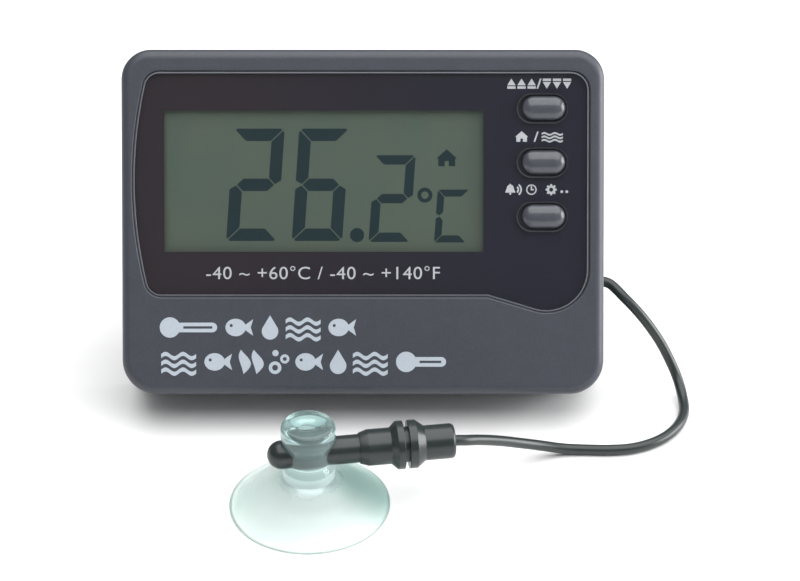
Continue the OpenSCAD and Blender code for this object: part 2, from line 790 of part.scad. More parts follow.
module thermistor_bead() {
    color(brass) in_probe() {
        translate([0, 0, 5]) sphere(1.2, $fn = 24);
        for (side = [-0.5, 0.5])
            translate([side, 0, 5]) cylinder(r = 0.2, h = 3, $fn = 16);
    }
}

module probe_potting() {
    color("dimgray") in_probe() translate([0, 0, 8]) cylinder(r = tube_r - 0.8, h = 16);
}

// A soft cup with a dished underside, a solid neck, and a head that the probe passes through
module suction_cup() {
    rim_r = cup_d / 2;
    neck_r = 5.5;
    waist_r = 4.7;
    head_r = 5.75;
    crown_r = 1.6;
    color(cup_clear) translate([cup_c[0], cup_c[1], 0]) rotate([0, 0, probe_yaw]) difference() {
        rotate_extrude($fn = 96) polygon(concat(
            [[0, 4.2], [3, 4], [8, 2.9], [13, 1.2], [rim_r - 0.8, 0], [rim_r, 0], [rim_r, 0.9],
                [rim_r - 2, 2], [12, 4.1], [9, 5.6], [7, 6.9], [neck_r, 8.6], [neck_r, 10]],
            [[5, 11.3], [waist_r, 12.8], [waist_r, 14.4], [5.2, 16.4], [head_r, 18]],
            arc([head_r - crown_r, cup_h - crown_r], crown_r, 0, 90, 8),
            [[2.4, cup_h - 0.3], [0, cup_h - 0.6]]));
        translate([-rim_r, 0, cup_hole_z]) rotate([0, 90, 0])
            cylinder(r = tube_r + bore_gap, h = cup_d);
    }
}

front_cover();
rear_cover();
display_lens();
lens_mask();
lcd_front_glass();
lcd_rear_glass();
lcd_reflector();
lcd_holder();
zebra_strips();
circuit_board();
chip_blob();
quartz_crystal();
indoor_thermistor();
buzzer_disc();
tact_switches();
button(cap_zs[0]);  // button_max_min
button(cap_zs[1]);  // button_in_out
button(cap_zs[2]);  // button_alarm_set
plunger(cap_zs[0]);  // plunger_max_min
plunger(cap_zs[1]);  // plunger_in_out
plunger(cap_zs[2]);  // plunger_alarm_set
battery_cell();
battery_contact_positive();
battery_contact_spring();
battery_door();
stand();
stand_hinge_pin();
case_screws();
board_screws();
unit_switch_body();
unit_switch_knob();
inner_wires();
cable_grommet();
cable();
probe_tube();
probe_sleeve();
cable_boot();
thermistor_bead();
probe_potting();
suction_cup();
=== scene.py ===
"""The looks of a digital aquarium thermometer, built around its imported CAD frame."""

import json
import math

import bmesh
import bpy
from mathutils import Matrix, Vector
from mathutils.geometry import tessellate_polygon


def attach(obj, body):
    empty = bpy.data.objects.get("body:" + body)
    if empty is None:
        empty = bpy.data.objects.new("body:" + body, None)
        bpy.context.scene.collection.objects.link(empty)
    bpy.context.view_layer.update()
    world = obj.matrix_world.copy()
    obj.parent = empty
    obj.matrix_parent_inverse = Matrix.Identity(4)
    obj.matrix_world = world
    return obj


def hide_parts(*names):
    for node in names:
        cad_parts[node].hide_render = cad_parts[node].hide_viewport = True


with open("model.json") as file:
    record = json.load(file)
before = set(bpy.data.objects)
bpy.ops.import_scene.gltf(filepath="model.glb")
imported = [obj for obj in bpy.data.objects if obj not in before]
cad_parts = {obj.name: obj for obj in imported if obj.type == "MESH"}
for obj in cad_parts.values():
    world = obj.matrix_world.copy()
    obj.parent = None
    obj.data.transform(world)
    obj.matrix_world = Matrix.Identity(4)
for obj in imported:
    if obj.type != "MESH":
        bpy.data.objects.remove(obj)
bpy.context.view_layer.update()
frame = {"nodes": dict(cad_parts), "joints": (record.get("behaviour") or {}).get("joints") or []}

# ---------------------------------------------------------------- sizes, in millimetres and degrees
MM = 0.001
# The case: its outside, its edge and corner radii, its wall, and the seam between its halves
CASE_W, CASE_H, CASE_D = 105, 75, 22
EDGE_R, TOP_R, BOTTOM_R, WALL = 2, 6.5, 7.5, 2
SPLIT_Y, SEAM = 9, 0.2
# Depths behind the face: the window's front, the film, the seat under it and the display's glass
LENS_Y, LENS_T, LENS_GAP = 0.25, 1.0, 0.3
MASK_Y = LENS_Y + LENS_T
SEAT_Y = MASK_Y + 0.15
FRONT_Y = SEAT_Y + 1.2
# The window: its straight sides, its corners, the bow of its left side, the bulge at its lower right,
# and the opening in the film over the display
LENS_TOP, LENS_BOTTOM, LENS_RIGHT = 32.6, -16, 49
LENS_RIGHT_R, LENS_LEFT_R = 4, 3.5
BOW_R, BOW_C = 94.35, (44.5, 8.8)
BULGE_R, BULGE_C, BULGE_START = 9.1, (39.9, -10.3), (27.2, -16)
WINDOW_C, WINDOW_W, WINDOW_H = (-8.5, 8.95), 69.4, 30.7
# The buttons' caps, and their holes, which sit a little left of and below them
CAP_X, CAP_ZS, CAP_W, CAP_H = 39.3, (24.8, 13.05, 1.3), 9.7, 5.4
HOLE_SHIFT, HOLE_W, HOLE_H = (-0.35, -0.1), 10.6, 6.0
# The cable, where it leaves the case, and how far it runs into the bushing and the boot
CABLE_R = 1.15
GLAND_Y, GLAND_Z, GLAND_OUT = 14, -13.4, 0.8
CABLE_IN_GLAND, CABLE_IN_BOOT = 1.5, 1.5
# The probe, measured from its tip
TUBE_R, FLANGE_R, SLEEVE_R = 3, 5.1, 3.7
SLEEVE_START, TUBE_END, SLEEVE_END, BOOT_END = 19.3, 27, 29.6, 39.5
# The suction cup, the height of its cross hole, and its place along the probe
CUP_R, CUP_H, CUP_HOLE_Z, CUP_AT = 17, 21, 13.7, 8.7

# ---------------------------------------------------------------- places, taken from the frame
joints = {joint["name"]: joint for joint in frame["joints"]}
inward = Vector(joints["in_out_button_press"]["axis"])
LEAN = math.atan2(-inward.z, inward.y)
CASE_RISE = (CASE_D - EDGE_R) * math.sin(LEAN) + (CASE_H / 2 - EDGE_R) * math.cos(LEAN) + EDGE_R
REACH_FRONT = (CASE_H / 2 - EDGE_R) * math.sin(LEAN) - EDGE_R * math.cos(LEAN) + EDGE_R
REACH_BACK = (CASE_D - EDGE_R) * math.cos(LEAN) + (CASE_H / 2 - EDGE_R) * math.sin(LEAN) + EDGE_R
CASE_SHIFT = (REACH_FRONT - REACH_BACK) / 2
# From the case's own frame in millimetres, with Y running in from the face, to the row frame in metres
IN_CASE = (Matrix.Translation((0, CASE_SHIFT * MM, CASE_RISE * MM))
    @ Matrix.Rotation(-LEAN, 4, "X") @ Matrix.Scale(MM, 4))

probe_axis = Vector(joints["cup_turn"]["axis"]).normalized()
cup_centre = Vector(joints["cup_turn"]["pos_m"])
probe_tip = cup_centre - CUP_AT * MM * probe_axis
# From a lathe's frame in millimetres, with its axis along Z, to the probe and to the suction cup
IN_PROBE = (Matrix.Translation(probe_tip) @ probe_axis.to_track_quat("Z", "Y").to_matrix().to_4x4()
    @ Matrix.Scale(MM, 4))
IN_CUP = (Matrix.Translation((cup_centre.x, cup_centre.y, 0))
    @ Matrix.Rotation(math.atan2(probe_axis.y, probe_axis.x), 4, "Z") @ Matrix.Scale(MM, 4))


def case_point(x, y, z):
    """A point in the row frame, in metres, from one in the case's frame, in millimetres."""
    return IN_CASE @ Vector((x, y, z))


# ---------------------------------------------------------------- camera
CAMERA_RISE = math.radians(32.5)
CAMERA_AWAY, VIEW_W = 0.56, 0.1739
aim = case_point(8.07, 0, -14.8)
look = Vector((0, math.cos(CAMERA_RISE), -math.sin(CAMERA_RISE)))
camera = bpy.data.objects.new("camera", bpy.data.cameras.new("camera"))
camera.data.sensor_width = 36
camera.data.lens = camera.data.sensor_width * CAMERA_AWAY / VIEW_W
camera.data.clip_start, camera.data.clip_end = 0.01, 20
camera.location = aim - CAMERA_AWAY * look
camera.rotation_mode = "QUATERNION"
camera.rotation_quaternion = look.to_track_quat("-Z", "Y")
bpy.context.collection.objects.link(camera)
bpy.context.scene.camera = camera


# ---------------------------------------------------------------- materials
class Shading:
    """A material's node tree, with short names for the nodes that this scene uses."""

    def __init__(self, name):
        self.material = bpy.data.materials.new(name)
        self.material.use_nodes = True
        self.nodes = self.material.node_tree.nodes
        self.links = self.material.node_tree.links
        self.nodes.clear()
        self.output = self.nodes.new("ShaderNodeOutputMaterial")
        self.place = self.nodes.new("ShaderNodeTexCoord").outputs["Object"]

    def node(self, kind, values=None, links=None, **settings):
        made = self.nodes.new("ShaderNode" + kind)
        for key, value in settings.items():
            setattr(made, key, value)
        for key, value in (values or {}).items():
            made.inputs[key].default_value = value
        for key, source in (links or {}).items():
            self.links.new(source, made.inputs[key])
        return made

    def noise(self, size_mm, detail=3, rough=0.5, stretch=None):
        """Noise from 0 to 1 with features of about size_mm, squeezed along an axis by stretch."""
        place = self.place
        if stretch:
            place = self.node("Mapping", {"Scale": stretch}, {"Vector": place}).outputs[0]
        values = {"Scale": 1 / (size_mm * MM), "Detail": detail, "Roughness": rough}
        return self.node("TexNoise", values, {"Vector": place}).outputs["Fac"]

    def ramp(self, source, stops):
        made = self.node("ValToRGB", links={"Fac": source})
        ends = made.color_ramp.elements
        while len(ends) < len(stops):
            ends.new(0.5)
        for end, (at, colour) in zip(ends, stops):
            end.position = at
            end.color = (*colour, 1)
        return made.outputs["Color"]

    def spread(self, source, low, high):
        values = {"To Min": low, "To Max": high}
        return self.node("MapRange", values, {"Value": source}).outputs["Result"]

    def bump(self, source, depth_mm, strength=1.0, below=None):
        links = {"Height": source}
        if below is not None:
            links["Normal"] = below
        values = {"Strength": strength, "Distance": depth_mm * MM}
        return self.node("Bump", values, links).outputs["Normal"]

    def surface(self, values, links=None):
        made = self.node("BsdfPrincipled", values, links)
        self.links.new(made.outputs[0], self.output.inputs["Surface"])
        return self.material


def shade(colour, factor):
    return tuple(channel * factor for channel in colour)


def plastic(name, colour, rough, grain_mm=0.25, grain_depth=0.02, coat=0.0):
    """Moulded plastic: fine grain, slow waves in the surface, faint mottling and scuffs."""
    s = Shading(name)
    grain = s.noise(grain_mm, 4, 0.6)
    waves = s.noise(9, 2)
    mottle = s.ramp(s.noise(3, 5, 0.65), [(0.3, shade(colour, 0.94)), (0.7, shade(colour, 1.06))])
    speckle = s.ramp(s.noise(0.35, 3, 0.6),
        [(0.3, (0.86,) * 3), (0.6, (1,) * 3), (0.75, (1.3,) * 3)])
    tone = s.node("Mix", {"Factor": 1.0}, {"A": mottle, "B": speckle}, data_type="RGBA",
        blend_type="MULTIPLY").outputs["Result"]
    scuffs = s.noise(1.5, 6, 0.7, stretch=(1, 1, 5))
    normal = s.bump(grain, grain_depth, 0.5, s.bump(waves, 0.08, 0.25))
    return s.surface({"Coat Weight": coat, "Coat Roughness": 0.12},
        {"Base Color": tone, "Roughness": s.spread(scuffs, rough * 0.88, rough * 1.14),
            "Normal": normal})


def metal(name, colour, rough, brush=(1, 1, 14)):
    """Plated or turned metal with fine brush marks and slightly uneven polish."""
    s = Shading(name)
    marks = s.noise(0.6, 5, 0.7, stretch=brush)
    tone = s.ramp(s.noise(2, 4), [(0.25, shade(colour, 0.85)), (0.75, colour)])
    return s.surface({"Metallic": 1.0},
        {"Base Color": tone, "Roughness": s.spread(marks, rough * 0.7, rough * 1.35),
            "Normal": s.bump(marks, 0.01, 0.4)})


def pane(name, tint, gloss_rough):
    """A clear sheet: what lies behind shows straight through, and its outer side mirrors."""
    s = Shading(name)
    clear = s.node("BsdfTransparent", {"Color": (*tint, 1)})
    ripple = s.bump(s.noise(14, 2), 0.03, 0.25)
    gloss = s.node("BsdfGlossy", {"Color": (1, 1, 1, 1), "Roughness": gloss_rough},
        {"Normal": ripple})
    fresnel = s.node("Fresnel", {"IOR": 1.49}, {"Normal": ripple})
    inside = s.node("NewGeometry").outputs["Backfacing"]
    outside = s.node("Math", {0: 1.0}, {1: inside}, operation="SUBTRACT").outputs[0]
    share = s.node("Math", None, {0: fresnel.outputs[0], 1: outside}, operation="MULTIPLY")
    mixed = s.node("MixShader", links={"Fac": share.outputs[0]})
    s.links.new(clear.outputs[0], mixed.inputs[1])
    s.links.new(gloss.outputs[0], mixed.inputs[2])
    s.links.new(mixed.outputs[0], s.output.inputs["Surface"])
    return s.material


def film(name):
    """Black ink on the back of the window, with a faint purple tint of its own, painted lighter on the
    left and darker and bluer on the right as a painted reflection.
    """
    s = Shading(name)
    across = s.node("SeparateXYZ", links={"Vector": s.place}).outputs["X"]
    side = s.node("MapRange", {"From Min": -0.045, "From Max": 0.045}, {"Value": across})
    # Painted reflection: lighter and purpler on the left, darker and bluer on the right.
    tint_and_painted_reflection = s.ramp(side.outputs["Result"],
        [(0.1, (0.021, 0.014, 0.019)), (0.9, (0.010, 0.011, 0.022))])
    specks = s.ramp(s.noise(0.5, 2), [(0.77, (0, 0, 0)), (0.8, (0.06, 0.055, 0.07))])
    both = s.node("Mix", {"Factor": 1.0}, {"A": tint_and_painted_reflection, "B": specks}, data_type="RGBA",
        blend_type="ADD")
    return s.surface({"Roughness": 0.35, "Specular IOR Level": 0.2},
        {"Base Color": both.outputs["Result"]})


def display_back():
    """The reflector behind the liquid crystal: green-grey and pearly, in soft upright bands."""
    s = Shading("display_back")
    bands = s.noise(9, 3, 0.5, stretch=(1, 1, 0.15))
    tone = s.ramp(bands, [(0.3, (0.064, 0.094, 0.069)), (0.7, (0.074, 0.097, 0.068))])
    pearl = s.noise(0.12, 3, 0.7)
    return s.surface({"Roughness": 0.5, "Specular IOR Level": 0.35},
        {"Base Color": tone, "Normal": s.bump(pearl, 0.01, 0.35)})


def ink(name, colour, rough=0.45, specular=0.4):
    """Screen-printed ink with a slightly uneven film."""
    s = Shading(name)
    tone = s.ramp(s.noise(0.5, 5, 0.7), [(0.25, shade(colour, 0.9)), (0.6, colour)])
    return s.surface({"Specular IOR Level": specular},
        {"Base Color": tone, "Roughness": s.spread(s.noise(0.8, 4), rough * 0.85, rough * 1.15),
            "Normal": s.bump(s.noise(0.2, 3), 0.01, 0.4)})


def soft_clear():
    """Clear soft vinyl: green where it is thick, milky in the thin dish, with flow marks.

    The dish is painted darker and greener over a sector on its right, and a little darker on its left:
    painted shade. Lamps shine through the vinyl in part, less so where it is thick, so it casts a
    light shadow.
    """
    s = Shading("soft_clear")
    height = s.node("SeparateXYZ", links={"Vector": s.place}).outputs["Z"]
    thick = s.node("MapRange", {"From Min": 6 * MM, "From Max": 10 * MM}, {"Value": height})
    tint = s.ramp(thick.outputs["Result"], [(0, (0.93, 0.975, 0.96)), (1, (0.57, 0.77, 0.77))])
    cloud = s.ramp(s.noise(5, 3), [(0.3, (0.95, 0.97, 0.965)), (0.7, (1, 1, 1))])
    clouded = s.node("Mix", {"Factor": 1.0}, {"A": tint, "B": cloud}, data_type="RGBA",
        blend_type="MULTIPLY")
    around = s.node("Mapping", {"Location": (-cup_centre.x, -cup_centre.y, 0)}, {"Vector": s.place})
    angle = s.node("TexGradient", None, {"Vector": around.outputs[0]}, gradient_type="RADIAL")
    # Painted shade: around the cup's axis the dish is darker and greener on the right and a little
    # darker on the left.
    white, left_shade = (1, 1, 1), (0.93, 0.96, 0.95)
    sector_shade = s.ramp(angle.outputs["Fac"], [(0, left_shade), (0.1, white), (0.4, white),
        (0.5, (0.6, 0.72, 0.7)), (0.62, (0.62, 0.74, 0.72)), (0.74, white), (0.9, white), (1, left_shade)])
    thin = s.node("Math", {0: 1.0}, {1: thick.outputs["Result"]}, operation="SUBTRACT")
    tone = s.node("Mix", None, {"Factor": thin.outputs[0], "A": clouded.outputs["Result"],
        "B": sector_shade}, data_type="RGBA", blend_type="MULTIPLY")
    flow = s.noise(3.5, 3, 0.5, stretch=(1, 1, 0.3))
    dull = s.node("MapRange", {"To Min": 0.34, "To Max": 0.12}, {"Value": thick.outputs["Result"]})
    rough = s.node("Math", {2: 0.0}, {0: dull.outputs["Result"], 1: s.spread(flow, 0.75, 1.25)},
        operation="MULTIPLY")
    vinyl = s.node("BsdfPrincipled", {"Transmission Weight": 0.85, "IOR": 1.4},
        {"Base Color": tone.outputs["Result"], "Roughness": rough.outputs[0],
            "Normal": s.bump(flow, 0.05, 0.3)})
    low = s.node("MapRange", {"From Min": 0, "From Max": 10 * MM}, {"Value": height})
    passed = s.ramp(low.outputs["Result"], [(0, (0.7, 0.76, 0.74)), (0.2, (0.3, 0.34, 0.33)),
        (0.6, (0.12, 0.15, 0.145)), (1, (0.08, 0.1, 0.1))])
    lit = s.node("BsdfTransparent", links={"Color": passed})
    lamps = s.node("LightPath").outputs["Is Shadow Ray"]
    mixed = s.node("MixShader", links={"Fac": lamps})
    s.links.new(vinyl.outputs[0], mixed.inputs[1])
    s.links.new(lit.outputs[0], mixed.inputs[2])
    s.links.new(mixed.outputs[0], s.output.inputs["Surface"])
    return s.material


def board_green():
    """Green solder mask over copper tracks that show as slightly lighter bands."""
    s = Shading("board_green")
    cells = s.node("TexVoronoi", {"Scale": 1 / (4 * MM)}, {"Vector": s.place},
        distance="MANHATTAN", feature="DISTANCE_TO_EDGE")
    tracks = s.ramp(cells.outputs["Distance"],
        [(0.05, (0.03, 0.2, 0.07)), (0.12, (0.015, 0.1, 0.035))])
    return s.surface({"Roughness": 0.3, "Coat Weight": 0.5},
        {"Base Color": tracks, "Normal": s.bump(cells.outputs["Distance"], 0.03, 0.3)})


def floor_paper():
    """Matt white paper with slow, faint changes of tone."""
    s = Shading("floor_paper")
    tone = s.ramp(s.noise(60, 3), [(0.3, (0.88, 0.88, 0.88)), (0.7, (0.9, 0.9, 0.9))])
    return s.surface({"Roughness": 0.9, "Specular IOR Level": 0.1}, {"Base Color": tone})


case_grey = plastic("case_grey", (0.044, 0.049, 0.063), 0.42, 0.22, 0.03)
cap_grey = plastic("cap_grey", (0.055, 0.061, 0.074), 0.26, 0.5, 0.008, coat=0.3)
probe_black = plastic("probe_black", (0.014, 0.021, 0.021), 0.3, 0.35, 0.02, coat=0.1)
cable_black = plastic("cable_black", (0.019, 0.027, 0.026), 0.3, 0.3, 0.02)
dark_plastic = plastic("dark_plastic", (0.03, 0.03, 0.032), 0.45)
white_plastic = plastic("white_plastic", (0.7, 0.7, 0.67), 0.4)
black_resin = plastic("black_resin", (0.012, 0.012, 0.013), 0.25, 1.2, 0.05)
zebra_rubber = plastic("zebra_rubber", (0.02, 0.02, 0.02), 0.7)
cell_jacket = plastic("cell_jacket", (0.05, 0.12, 0.28), 0.25, 0.6, 0.01, coat=0.5)
wire_red = plastic("wire_red", (0.4, 0.03, 0.025), 0.35)
resin_grey = plastic("resin_grey", (0.05, 0.05, 0.05), 0.3)
steel = metal("steel", (0.62, 0.61, 0.6), 0.28)
brass = metal("brass", (0.78, 0.58, 0.26), 0.3, brush=(5, 5, 5))
window_clear = pane("window_clear", (0.97, 0.975, 0.985), 0.09)
glass_clear = pane("glass_clear", (0.96, 0.98, 0.96), 0.02)
# Frosted acrylic edge, its light grey a painted highlight: the light line along the window's edge.
frosted_edge_highlight = plastic("frosted_edge_highlight", (0.20, 0.21, 0.235), 0.35, 0.3, 0.01)
hole_frost = plastic("hole_frost", (0.035, 0.036, 0.042), 0.4, 0.3, 0.01)
black_film = film("black_film")
lcd_back = display_back()
lcd_dark = ink("lcd_dark", (0.010, 0.026, 0.030), 0.6, specular=0.08)
white_ink = ink("white_ink", (0.46, 0.475, 0.49))
title_ink = ink("title_ink", (0.44, 0.49, 0.55))
clear_vinyl = soft_clear()
green_board = board_green()


# ---------------------------------------------------------------- outlines, in the plane of the face
def arc(centre, radius, start, end, steps=16):
    """Points along an arc, from angle start to angle end in degrees."""
    angles = [math.radians(start + (end - start) * i / steps) for i in range(steps + 1)]
    return [(centre[0] + radius * math.cos(a), centre[1] + radius * math.sin(a)) for a in angles]


def pill(centre, w, h, grow=0):
    """A bar with round ends."""
    side = (w - h) / 2
    r = h / 2 + grow
    return (arc((centre[0] + side, centre[1]), r, -90, 90, 20)
        + arc((centre[0] - side, centre[1]), r, 90, 270, 20))


def rectangle(centre, w, h, r=0.4):
    """A rectangle with small round corners."""
    x, z = w / 2 - r, h / 2 - r
    corners = ((x, -z, -90), (x, z, 0), (-x, z, 90), (-x, -z, 180))
    return [p for cx, cz, a in corners
        for p in arc((centre[0] + cx, centre[1] + cz), r, a, a + 90, 5)]


def case_outline(inset):
    """The case's front outline, moved in by inset."""
    x, z = CASE_W / 2, CASE_H / 2
    corners = ((x - BOTTOM_R, BOTTOM_R - z, BOTTOM_R, -90), (x - TOP_R, z - TOP_R, TOP_R, 0),
        (TOP_R - x, z - TOP_R, TOP_R, 90), (BOTTOM_R - x, BOTTOM_R - z, BOTTOM_R, 180))
    return [p for cx, cz, r, a in corners for p in arc((cx, cz), r - inset, a, a + 90, 20)]


def bow_corner(z):
    """Centre of a left corner of the window, which touches the bowed side and the line at z."""
    reach = BOW_R - LENS_LEFT_R
    return (BOW_C[0] - math.sqrt(reach ** 2 - (z - BOW_C[1]) ** 2), z)


def angle_of(centre, point):
    """The direction of a point from a centre, from 0 to 360 degrees."""
    return math.degrees(math.atan2(point[1] - centre[1], point[0] - centre[0])) % 360


def lens_outline(grow=0):
    """The clear window: a bowed left side, and a bulge at the lower right."""
    upper = bow_corner(LENS_TOP - LENS_LEFT_R)
    lower = bow_corner(LENS_BOTTOM + LENS_LEFT_R)
    upper_a, lower_a = angle_of(BOW_C, upper), angle_of(BOW_C, lower)
    reach = math.dist(BULGE_C, BULGE_START)
    bulge_a = angle_of(BULGE_C, BULGE_START) + math.degrees(math.acos(BULGE_R / reach))
    start = (BULGE_START[0] - grow * math.tan(math.radians(270 - bulge_a) / 2),
        LENS_BOTTOM - grow)
    return (arc(BULGE_C, BULGE_R + grow, bulge_a, 360, 28)
        + arc((LENS_RIGHT - LENS_RIGHT_R, LENS_TOP - LENS_RIGHT_R), LENS_RIGHT_R + grow, 0, 90)
        + arc(upper, LENS_LEFT_R + grow, 90, upper_a)
        + arc(BOW_C, BOW_R + grow, upper_a, lower_a, 40)[1:-1]
        + arc(lower, LENS_LEFT_R + grow, lower_a, 270) + [start])


def button_hole(z, grow=0):
    """The hole of the button at height z."""
    return pill((CAP_X + HOLE_SHIFT[0], z + HOLE_SHIFT[1]), HOLE_W, HOLE_H, grow)


# ---------------------------------------------------------------- mesh building
class Shape:
    """A mesh in the making. Points on the face are (x, z) pairs at a depth y."""

    def __init__(self):
        self.points = []
        self.faces = []

    def ring(self, outline, y):
        first = len(self.points)
        self.points += [(x, y, z) for x, z in outline]
        return list(range(first, len(self.points)))

    def walls(self, rings):
        """Faces between each ring and the next."""
        for one, two in zip(rings, rings[1:]):
            n = len(one)
            for i in range(n):
                j = (i + 1) % n
                self.faces.append((one[i], one[j], two[j], two[i]))

    def sheet(self, rings, flip=False):
        """A flat face inside the first ring, with the other rings as holes in it."""
        loops = [[Vector((self.points[i][0], self.points[i][2], 0)) for i in r] for r in rings]
        index = [i for r in rings for i in r]
        for tri in tessellate_polygon(loops):
            corners = tuple(index[i] for i in tri)
            self.faces.append(corners[::-1] if flip else corners)

    def place(self, name, matrix, material, body, slot, replaced=(), crease=30):
        """Makes the object in the row frame, shades it, and lets it ride on a body."""
        mesh = bpy.data.meshes.new(name)
        mesh.from_pydata([matrix @ Vector(p) for p in self.points], [], self.faces)
        return settle(mesh, name, material, body, replaced, crease)


def settle(mesh, name, material, body, replaced=(), crease=30):
    """Cleans a mesh, turns its faces outward, shades it and sets it in the scene on its body."""
    made = bmesh.new()
    made.from_mesh(mesh)
    bmesh.ops.remove_doubles(made, verts=made.verts, dist=1e-7)
    bmesh.ops.dissolve_degenerate(made, edges=made.edges, dist=1e-8)
    bmesh.ops.recalc_face_normals(made, faces=made.faces)
    made.to_mesh(mesh)
    made.free()
    mesh.shade_smooth()
    mesh.set_sharp_from_angle(angle=math.radians(crease))
    mesh.materials.append(material)
    piece = bpy.data.objects.new(name, mesh)
    bpy.context.collection.objects.link(piece)
    piece.modifiers.new("weigh", "WEIGHTED_NORMAL").keep_sharp = True
    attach(piece, body)
    if replaced:
        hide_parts(*replaced)
    return piece


def plate(outer, holes, y0, y1, bevel):
    """A bevelled plate between two depths. outer and holes are functions of how far to grow."""
    shape = Shape()
    profile = [(y0, bevel), (y0 + bevel, 0), (y1 - bevel, 0), (y1, bevel)]
    edges = [[shape.ring(outer(-inset), y) for y, inset in profile]]
    edges += [[shape.ring(hole(inset), y) for y, inset in profile] for hole in holes]
    for edge in edges:
        shape.walls(edge)
    shape.sheet([edge[0] for edge in edges])
    shape.sheet([edge[-1] for edge in edges], flip=True)
    return shape


def lathe(profile, steps=96):
    """A turned solid about Z from (radius, height) pairs; a pair at radius 0 closes an end."""
    shape = Shape()
    rings = []
    for r, z in profile:
        first = len(shape.points)
        if r < 1e-6:
            shape.points.append((0, 0, z))
            rings.append([first] * steps)
            continue
        for i in range(steps):
            a = 2 * math.pi * i / steps
            shape.points.append((r * math.cos(a), r * math.sin(a), z))
        rings.append(list(range(first, first + steps)))
    for one, two in zip(rings, rings[1:]):
        for i in range(steps):
            j = (i + 1) % steps
            corners = [one[i], one[j], two[j], two[i]]
            shape.faces.append(tuple(dict.fromkeys(corners)))
    return shape


def rounded(points, steps=5):
    """(radius, height) pairs with round corners. A point is (radius, height, corner radius)."""
    made = []
    for i, (x, y, r) in enumerate(points):
        if r == 0 or i in (0, len(points) - 1):
            made.append((x, y))
            continue
        here = Vector((x, y))
        back = Vector(points[i - 1][:2]) - here
        on = Vector(points[i + 1][:2]) - here
        half = back.angle(on) / 2
        reach = min(r / math.tan(half), back.length * 0.49, on.length * 0.49)
        a, b = here + back.normalized() * reach, here + on.normalized() * reach
        for k in range(steps + 1):
            t = k / steps
            made.append(tuple(a * (1 - t) ** 2 + here * 2 * t * (1 - t) + b * t ** 2))
    return made


def cut(piece, cutter):
    """Takes the cutter's shape out of a piece's mesh."""
    piece.modifiers.clear()
    tool = piece.modifiers.new("cut", "BOOLEAN")
    tool.operation, tool.solver, tool.object = "DIFFERENCE", "EXACT", cutter
    depsgraph = bpy.context.evaluated_depsgraph_get()
    mesh = bpy.data.meshes.new_from_object(piece.evaluated_get(depsgraph))
    bpy.data.objects.remove(cutter)
    bpy.data.objects.remove(piece)
    return mesh


# ---------------------------------------------------------------- cable
# The cable leaves the bushing, drops to the table, lies in one bend and rises to the boot
CABLE_ROUTE = [
    (55.1, -4.6, 23.6), (57.8, -6.6, 21.7), (60.9, -8, 18.8), (63.6, -9, 15.6), (66.2, -9.8, 11.8),
    (68.4, -10.9, 7.8), (70.2, -13, 4.2), (71.1, -16.8, 1.9), (71.1, -21.4, 1.2), (69.5, -26.6, 1.2),
    (66.6, -30.8, 1.2), (63, -33.7, 1.2), (58.6, -35.6, 1.2), (53.8, -36.2, 1.2),
    (48.8, -36.1, 1.2), (43.8, -36.3, 1.6), (38.4, -37.9, 3.6), (33.8, -40.3, 6),
    (29.4, -43.4, 8.8), (25, -46.8, 11.5), (22, -49, 13),
]
mouth = case_point(CASE_W / 2 + GLAND_OUT, GLAND_Y, GLAND_Z)
route = [mouth - Vector((CABLE_IN_GLAND * MM, 0, 0)), mouth]
route += [Vector(p) * MM for p in CABLE_ROUTE]
route += [probe_tip + BOOT_END * MM * probe_axis,
    probe_tip + (BOOT_END - CABLE_IN_BOOT) * MM * probe_axis]


def make_cable():
    """The cable, as one smooth curve through the route."""
    curve = bpy.data.curves.new("cable_jacket", "CURVE")
    curve.dimensions = "3D"
    curve.bevel_depth = CABLE_R * MM
    curve.bevel_resolution = 6
    curve.resolution_u = 10
    curve.use_fill_caps = True
    spline = curve.splines.new("BEZIER")
    spline.bezier_points.add(len(route) - 1)
    for i, (point, at) in enumerate(zip(spline.bezier_points, route)):
        before, after = route[max(i - 1, 0)], route[min(i + 1, len(route) - 1)]
        heading = (after - before).normalized()
        point.co = at
        point.handle_left = at - heading * (at - before).length / 3
        point.handle_right = at + heading * (after - at).length / 3
    curve.materials.append(cable_black)
    piece = bpy.data.objects.new("cable_jacket", curve)
    bpy.context.collection.objects.link(piece)
    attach(piece, "case")
    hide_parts("cable")
    return piece


cable = make_cable()


# ---------------------------------------------------------------- probe
def make_probe():
    """The closed tube, the sleeve round its end, and the boot behind the sleeve."""
    nose = [(TUBE_R * math.sin(math.radians(a)), TUBE_R * (1 - math.cos(math.radians(a))))
        for a in range(0, 91, 5)]
    tube = lathe(nose + [(TUBE_R, 24), (TUBE_R - 0.8, 24), (TUBE_R - 0.8, 3.2), (0, 3.2)])
    sleeve = lathe(rounded([(TUBE_R, TUBE_END, 0), (TUBE_R, SLEEVE_START, 0),
        (TUBE_R + 0.25, SLEEVE_START, 0.1), (3.85, 21.1, 0.5), (3.85, 25.9, 0.3),
        (FLANGE_R, 27.2, 0.25), (FLANGE_R, 28.7, 0.25), (3.75, 28.7, 0.15), (3.75, SLEEVE_END, 0),
        (1.6, SLEEVE_END, 0), (1.6, TUBE_END, 0), (TUBE_R, TUBE_END, 0)]))
    boot = lathe(rounded([(CABLE_R, SLEEVE_END, 0), (FLANGE_R, SLEEVE_END, 0.25),
        (FLANGE_R, 31.3, 0.25), (SLEEVE_R, 33.1, 0.4), (SLEEVE_R, BOOT_END, 1.7),
        (CABLE_R + 0.35, BOOT_END, 0.2), (CABLE_R + 0.02, BOOT_END - 0.4, 0),
        (CABLE_R, SLEEVE_END, 0)], steps=8))
    parts = {"tube_shell": (tube, "probe_tube"), "sleeve_shell": (sleeve, "probe_sleeve"),
        "boot_shell": (boot, "cable_boot")}
    return [shape.place(name, IN_PROBE, probe_black, "case", "probe_plastic", (node,))
        for name, (shape, node) in parts.items()]


